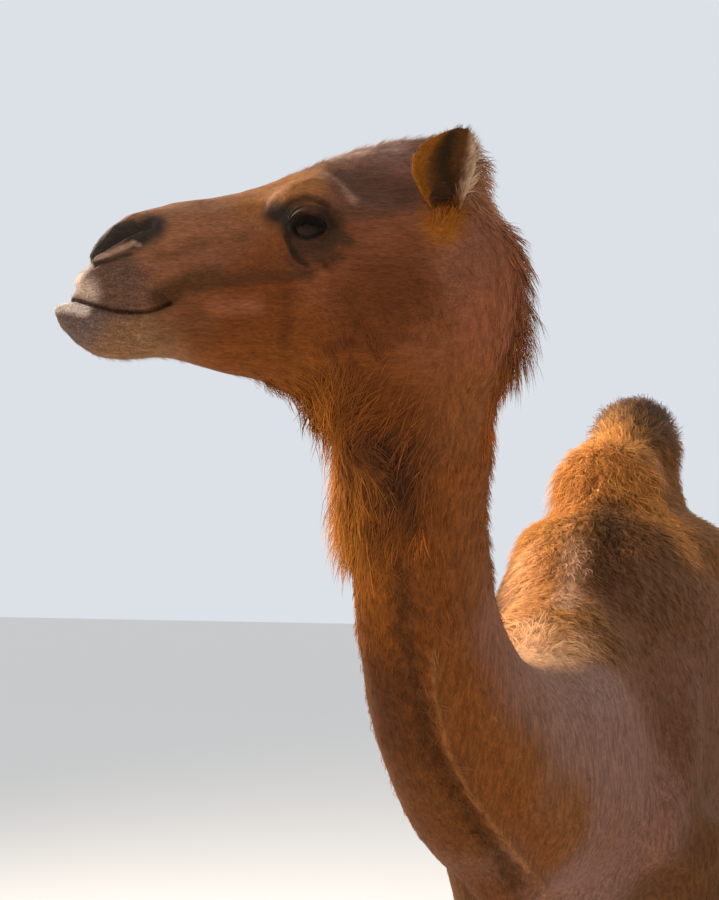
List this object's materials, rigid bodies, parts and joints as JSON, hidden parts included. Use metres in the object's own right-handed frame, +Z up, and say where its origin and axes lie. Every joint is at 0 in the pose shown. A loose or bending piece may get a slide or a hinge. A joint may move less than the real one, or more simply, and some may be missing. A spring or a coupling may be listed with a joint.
{
  "type": "dromedary camel",
  "caption": "Life-size still model of a one-humped camel standing with its neck raised and its head turned to its right.",
  "frame": {"origin": "middle of the bounding box at floor level, under the belly", "axes": "-Y is the way the body faces, +X is the camel's left, +Z is up"},
  "size_m": [0.7118, 2.5472, 2.1915],
  "materials": {
    "tawny_coat": "short rufous-brown hair lying along the body, paler and longer on crown, withers and chest",
    "hump_coat": "woolly, curly sandy-orange hair with a dark brown tuft on top",
    "muzzle_skin": "thin short-haired skin, grey-brown and matt, with a pale rim on the lower lip",
    "ear_coat": "short soft hair, dark inside the ear and pale on its back rim",
    "eye_glass": "wet, glossy, nearly black brown",
    "foot_pad": "short hair over a broad cushion, with a grey-brown leathery sole",
    "nail_horn": "dark horn, worn and slightly glossy"
  },
  "bodies": {
    "root": {"ear_left": "ear_coat", "ear_right": "ear_coat", "eye_left": "eye_glass", "eye_right": "eye_glass", "forefoot_left": "foot_pad", "forefoot_right": "foot_pad", "foreleg_left_lower": "tawny_coat", "foreleg_left_upper": "tawny_coat", "foreleg_right_lower": "tawny_coat", "foreleg_right_upper": "tawny_coat", "forenail_left_a": "nail_horn", "forenail_left_b": "nail_horn", "forenail_right_a": "nail_horn", "forenail_right_b": "nail_horn", "head": "tawny_coat", "hindfoot_left": "foot_pad", "hindfoot_right": "foot_pad", "hindleg_left_lower": "tawny_coat", "hindleg_left_upper": "tawny_coat", "hindleg_right_lower": "tawny_coat", "hindleg_right_upper": "tawny_coat", "hindnail_left_a": "nail_horn", "hindnail_left_b": "nail_horn", "hindnail_right_a": "nail_horn", "hindnail_right_b": "nail_horn", "hump": "hump_coat", "lower_jaw": "muzzle_skin", "neck_lower": "tawny_coat", "neck_upper": "tawny_coat", "tail": "tawny_coat", "trunk": "tawny_coat"}
  },
  "joints": []
}
